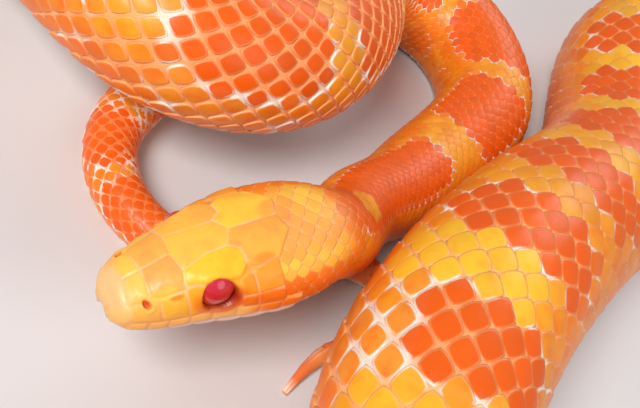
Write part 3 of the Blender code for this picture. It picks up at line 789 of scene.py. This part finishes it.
def lay_tiles(name, template, s, turn, half_length, half_turn, size):
    """Tiles laid on the body: each bends with the surface, its free end tailwards and raised."""
    count, each = len(s), len(template.vertices)
    mesh = tiled(name, template, count)
    x, y, z = places_of(template).T
    place = (s[:, None] + y[None] * half_length[:, None]).ravel()
    turns = (turn[:, None] + x[None] * half_turn[:, None]).ravel()
    rise = size[:, None] * (z[None] + SCALE_TILT * y[None] - COAT_SINK)
    points = TRUNK.surface(place, turns, rise.ravel())
    points[:, 2] = np.maximum(points[:, 2], 0)
    set_places(mesh, points)
    yellow, red, white = (np.repeat(share, each) for share in rear_markings(s, turn)[:3])
    rim = np.empty(len(mesh.vertices), np.float32)
    mesh.attributes["rim"].data.foreach_get("value", rim)
    edge = rear_markings(place, turns)[3]
    speckle = flecks(place, turns, edge) * np.minimum(1, 0.03 + 2.2 * rim)
    chance = np.repeat(DRAW.random(count), each)
    set_values(mesh, yellow=yellow, red=red, chance=chance, white=np.maximum(white, speckle))
    rim *= np.repeat(profile(RIM_SHARE, s), each).astype(np.float32)
    mesh.attributes["rim"].data.foreach_set("value", rim)
    spread_on_map(mesh, s, turn)
    mesh.shade_smooth()
    return mesh


def ring_places(start, end, pitch_of):
    """Distances from start to end, each a local pitch past the last."""
    places = [start]
    while places[-1] < end:
        places.append(places[-1] + float(pitch_of(places[-1])))
    return np.array(places[:-1])


def scale_roots():
    """Distance, turn, pitch and row angle of every scale of the back and sides."""
    found = []
    plates_end = np.array(HEAD_PLATES_END, float).T
    for (share, rows), following in zip(ROW_CHANGES, ROW_CHANGES[1:] + ((COAT_END, 0),)):
        start, end = share * TRUNK.length, following[0] * TRUNK.length
        angle = 2 * ROW_REACH / rows
        rings = ring_places(max(start, COAT_START), end, lambda s: pitch(s, rows) / 2)
        for i, s in enumerate(rings):
            reach = rows // 2 + (THROAT_ROWS if s < THROAT_END else 0)
            numbers = np.arange(-reach, reach + 1)
            numbers = numbers[(numbers + i) % 2 == 0]
            for turn in numbers * angle:
                if abs(turn) < THROAT_MIDDLE and s > np.interp(abs(turn), *plates_end):
                    found.append((s, turn, pitch(s, rows), angle))
    return np.array(found)


def pitch(s, rows):
    """Spacing along a row, from the body's girth and the number of rows."""
    return profile(SCALE_PITCH, s / TRUNK.length) * MAIN_ROWS / rows * TRUNK.half_width(s)


def stretch(s, turn):
    """Length of skin per length of axis: over 1 outside a bend and under 1 inside it."""
    return np.linalg.norm(TRUNK.surface(s + 0.5, turn) - TRUNK.surface(s - 0.5, turn), axis=1)


def coat(template):
    """Scales of the back and sides, in pieces along the body."""
    roots = scale_roots()
    roots = roots[np.argsort(roots[:, 0], kind="stable")]
    pieces = []
    for i, part in enumerate(np.array_split(roots, COAT_PIECES)):
        s, turn, spacing, angle = part.T
        rows_apart = np.radians(angle) * TRUNK.half_width(s)
        half_length = SCALE_LENGTH * spacing * stretch(s, turn) ** (STRETCH_SHARE - 1)
        jitter = DRAW.uniform(*SCALE_CHANCE, len(s))
        pieces.append(lay_tiles(f"scales_{i + 1}", template, s, turn, half_length * jitter,
                                SCALE_WIDTH * angle * jitter, rows_apart))
    return pieces


def belly_plates(template):
    """Wide plates under the body from the throat to the vent, one for each ring of scales."""
    s = ring_places(BELLY_PLATES_START, VENT * TRUNK.length, lambda d: pitch(d, MAIN_ROWS))
    turn, half_turn = np.full(len(s), 180.0), np.full(len(s), BELLY_PLATE_REACH)
    half_length = PLATE_LENGTH * pitch(s, MAIN_ROWS)
    return lay_tiles("belly_plates", template, s, turn, half_length, half_turn, row_spacing(s))


def tail_plates(template):
    """Paired plates under the tail."""
    start, end = VENT * TRUNK.length, TAIL_PLATES_END * TRUNK.length
    along = ring_places(start, end, lambda d: pitch(d, TAIL_ROWS))
    spacing = pitch(along, TAIL_ROWS)
    halves = []
    for side in (-1, 1):
        middles = np.full(len(along), 180.0 + side * TAIL_PLATE_TURN)
        halves.append(np.c_[along + side * TAIL_PLATE_STAGGER * spacing, middles, spacing])
    s, turn, spacing = np.concatenate(halves).T
    half_turn = np.full(len(s), TAIL_PLATE_REACH)
    size = TAIL_PLATE_SIZE * row_spacing(s)
    return lay_tiles("tail_plates", template, s, turn, PLATE_LENGTH * spacing, half_turn, size)


def eye(name, side):
    """Eyeball, its gaze stored from the pupil outwards."""
    s, across, height, radius = EYE
    aside, upward, forward = EYE_GAZE
    point, left, up, back = (row[0] for row in TRUNK.frame(np.array([s])))
    centre = point + side * across * left + height * up
    gaze = Vector(side * left * aside + up * upward - back * forward).normalized()
    bm = bmesh.new()
    bmesh.ops.create_icosphere(bm, subdivisions=5, radius=radius * MM)
    away = bm.verts.layers.float.new("away")
    lift = bm.verts.layers.float.new("lift")
    for vert in bm.verts:
        outward = vert.co.normalized()
        vert[away] = math.degrees(math.acos(max(-1, min(1, outward.dot(gaze))))) / 90
        vert[lift] = outward.dot(Vector(up)) / 2 + 0.5
    bmesh.ops.translate(bm, verts=bm.verts, vec=[float(c) * MM for c in centre])
    piece = new_piece(name + "_ball", mesh_of(bm, name + "_ball"))
    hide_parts(name)
    return piece


def colour_group():
    """Node group: the animal's colours mixed by shares of yellow, red, white, pale rim and painted shade."""
    group = bpy.data.node_groups.new("snake_colour", "ShaderNodeTree")
    for label in ("Yellow", "Red", "White", "Rim", "Dark", "Chance"):
        group.interface.new_socket(label, in_out="INPUT", socket_type="NodeSocketFloat")
    for label, kind in (("Colour", "Color"), ("Roughness", "Float"), ("Normal", "Vector")):
        group.interface.new_socket(label, in_out="OUTPUT", socket_type="NodeSocket" + kind)
    nodes, links = group.nodes, group.links
    given, out = nodes.new("NodeGroupInput"), nodes.new("NodeGroupOutput")
    place = nodes.new("ShaderNodeTexCoord")

    def noise(scale, detail):
        node = nodes.new("ShaderNodeTexNoise")
        node.inputs["Scale"].default_value = scale
        node.inputs["Detail"].default_value = detail
        links.new(place.outputs["Object"], node.inputs["Vector"])
        return node.outputs["Fac"]

    def ranged(value, low, high, to_low, to_high):
        node = nodes.new("ShaderNodeMapRange")
        for label, number in zip(("From Min", "From Max", "To Min", "To Max"), (low, high, to_low, to_high)):
            node.inputs[label].default_value = number
        links.new(value, node.inputs["Value"])
        return node.outputs["Result"]

    def maths(operation, first, second):
        node = nodes.new("ShaderNodeMath")
        node.operation = operation
        for i, value in enumerate((first, second)):
            if isinstance(value, float):
                node.inputs[i].default_value = value
            else:
                links.new(value, node.inputs[i])
        return node.outputs[0]

    def mixed(share, below, above):
        node = nodes.new("ShaderNodeMix")
        node.data_type = "RGBA"
        links.new(share, node.inputs["Factor"])
        for socket, value in ((node.inputs[6], below), (node.inputs[7], above)):
            if isinstance(value, tuple):
                socket.default_value = (*value, 1)
            else:
                links.new(value, socket)
        return node.outputs[2]

    cloud = noise(CLOUD_SCALE, 4.0)
    fine = noise(GRAIN_SCALE, 3.0)
    uneven = ranged(cloud, 0.3, 0.7, -UNEVEN, UNEVEN)
    colour = mixed(maths("ADD", given.outputs["Yellow"], uneven), ORANGE, YELLOW)
    colour = mixed(maths("ADD", given.outputs["Red"], maths("MULTIPLY", uneven, 0.7)), colour, RED)
    colour = mixed(maths("MULTIPLY", given.outputs["Rim"], 0.72), colour, RIM)
    colour = mixed(given.outputs["White"], colour, WHITE)
    lit = nodes.new("ShaderNodeHueSaturation")
    links.new(colour, lit.inputs["Color"])
    links.new(ranged(given.outputs["Chance"], 0.0, 1.0, 0.9, 1.05), lit.inputs["Value"])
    # Painted shade mixed in last, darkening the mouth's line, the eyes' surrounds and the nostrils
    links.new(mixed(given.outputs["Dark"], lit.outputs["Color"], DARK), out.inputs["Colour"])
    links.new(ranged(fine, 0.3, 0.7, 0.3, 0.44), out.inputs["Roughness"])
    bump = nodes.new("ShaderNodeBump")
    bump.inputs["Strength"].default_value = 0.15
    bump.inputs["Distance"].default_value = 0.0001
    links.new(fine, bump.inputs["Height"])
    links.new(bump.outputs["Normal"], out.inputs["Normal"])
    return group


def new_material(name, finish):
    """Material with the finish set on its shader, and with it the shader's inputs, the nodes and links."""
    material = bpy.data.materials.new(name)
    material.use_nodes = True
    nodes, links = material.node_tree.nodes, material.node_tree.links
    shader = nodes["Principled BSDF"].inputs
    for label, value in finish.items():
        shader[label].default_value = value
    return material, shader, nodes, links


def value_reader(nodes, label):
    """Output that gives a named value of the piece."""
    reader = nodes.new("ShaderNodeAttribute")
    reader.attribute_name = label
    return reader.outputs["Fac"]


def snake_material(name, group, values):
    """Glossy skin or scale, its colours read from the named values on the piece."""
    finish = {"Specular IOR Level": 0.32, "Coat Weight": 0.08, "Coat Roughness": 0.2}
    material, shader, nodes, links = new_material(name, finish)
    mix = nodes.new("ShaderNodeGroup")
    mix.node_tree = group
    for label in values:
        links.new(value_reader(nodes, label.lower()), mix.inputs[label])
    mix.inputs["Chance"].default_value = 0.6
    for given, label in (("Colour", "Base Color"), ("Roughness", "Roughness"), ("Normal", "Normal")):
        links.new(mix.outputs[given], shader[label])
    return material


def eye_material():
    """Wet red eye: a deep red pupil in a brighter iris with an orange ring, crimson towards the brow."""
    finish = {"Roughness": 0.25, "Coat Weight": 0.8, "Coat Roughness": 0.06}
    material, shader, nodes, links = new_material("crimson_eye", finish)

    def ramp(label, stops):
        node = nodes.new("ShaderNodeValToRGB")
        node.color_ramp.elements.remove(node.color_ramp.elements[1])
        node.color_ramp.elements[0].position = stops[0][0]
        node.color_ramp.elements[0].color = (*stops[0][1], 1)
        for place, rgb in stops[1:]:
            node.color_ramp.elements.new(place).color = (*rgb, 1)
        links.new(value_reader(nodes, label), node.inputs["Fac"])
        return node.outputs["Color"]

    mix = nodes.new("ShaderNodeMix")
    mix.data_type = "RGBA"
    links.new(ramp("lift", EYE_UPPER_MASK), mix.inputs["Factor"])
    links.new(ramp("away", EYE_RINGS), mix.inputs[6])
    mix.inputs[7].default_value = (*EYE_UPPER, 1)
    links.new(mix.outputs[2], shader["Base Color"])
    return material


def build():
    nodes = frame["nodes"]
    flesh = [name for name in nodes if not name.startswith("eye_")]
    group = colour_group()
    # The skin also carries the painted shade of the mouth, eyes and nostrils
    skin_look = snake_material("snake_skin", group, ("Yellow", "Red", "White", "Rim", "Dark"))
    scale_look = snake_material("snake_scale", group, ("Yellow", "Red", "White", "Rim", "Chance"))
    hide = new_piece("skin", skin())
    hide.data.materials.append(skin_look)
    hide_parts(*flesh)
    meshes = coat(tile("scale")) + [belly_plates(tile("plate")), tail_plates(tile("under_tail"))]
    for mesh in meshes:
        piece = new_piece(mesh.name, mesh)
        mesh.materials.clear()
        mesh.materials.append(scale_look)
    look = eye_material()
    for name, side in (("eye_left", 1), ("eye_right", -1)):
        eye(name, side).data.materials.append(look)


# Lamps: name, place and aim in metres, diameter, power and colour
LAMPS = (
    ("key", (-0.12, -0.36, 0.36), (0, -0.03, 0), 0.2, 2.1, (1.0, 0.97, 0.93)),
    ("fill", (0.45, -0.2, 0.35), (0, 0, 0), 0.4, 0.6, (0.95, 0.97, 1.0)),
    ("back", (0.1, 0.5, 0.4), (0, 0, 0), 0.3, 0.7, (1.0, 1.0, 1.0)),
)


def lamp(name, place, target, size, power, rgb):
    light = bpy.data.lights.new(name, "AREA")
    light.shape = "DISK"
    light.size = size
    light.energy = power
    light.color = rgb
    thing = new_object(name, light)
    thing.location = place
    thing.rotation_euler = (Vector(target) - Vector(place)).to_track_quat("-Z", "Y").to_euler()


def floor():
    ground = new_object("floor", flat_grid("floor", 1, 1, 3))
    finish = {"Base Color": (0.72, 0.72, 0.74, 1), "Roughness": 0.7}
    ground.data.materials.append(new_material("pale_floor", finish)[0])


# Camera: place from the photograph's perspective, degrees down and rolled, lens for a 36 mm sensor
CAMERA_PLACE = (-1.92, -122.66, 89.4)
CAMERA_DOWN, CAMERA_ROLL = 42.2, 36.4
LENS = 60.24


def camera():
    data = bpy.data.cameras.new("camera")
    data.sensor_width = 36
    data.lens = LENS
    data.clip_start = 0.005
    thing = new_object("camera", data)
    down, roll = math.radians(CAMERA_DOWN), math.radians(CAMERA_ROLL)
    ahead = Vector((0, math.cos(down), -math.sin(down)))
    right, up = Vector((1, 0, 0)), Vector((0, math.sin(down), math.cos(down)))
    x = math.cos(roll) * right + math.sin(roll) * up
    y = -math.sin(roll) * right + math.cos(roll) * up
    turned = Matrix((x, y, -ahead)).transposed().to_4x4()
    turned.translation = Vector(CAMERA_PLACE) * MM
    thing.matrix_world = turned
    bpy.context.scene.camera = thing


def studio():
    world = bpy.data.worlds.new("studio")
    world.use_nodes = True
    background = world.node_tree.nodes["Background"]
    background.inputs["Color"].default_value = (0.97, 0.98, 1.0, 1)
    background.inputs["Strength"].default_value = 0.32
    bpy.context.scene.world = world
    bpy.context.scene.view_settings.view_transform = "Standard"
    for each in LAMPS:
        lamp(*each)


build()
floor()
camera()
studio()
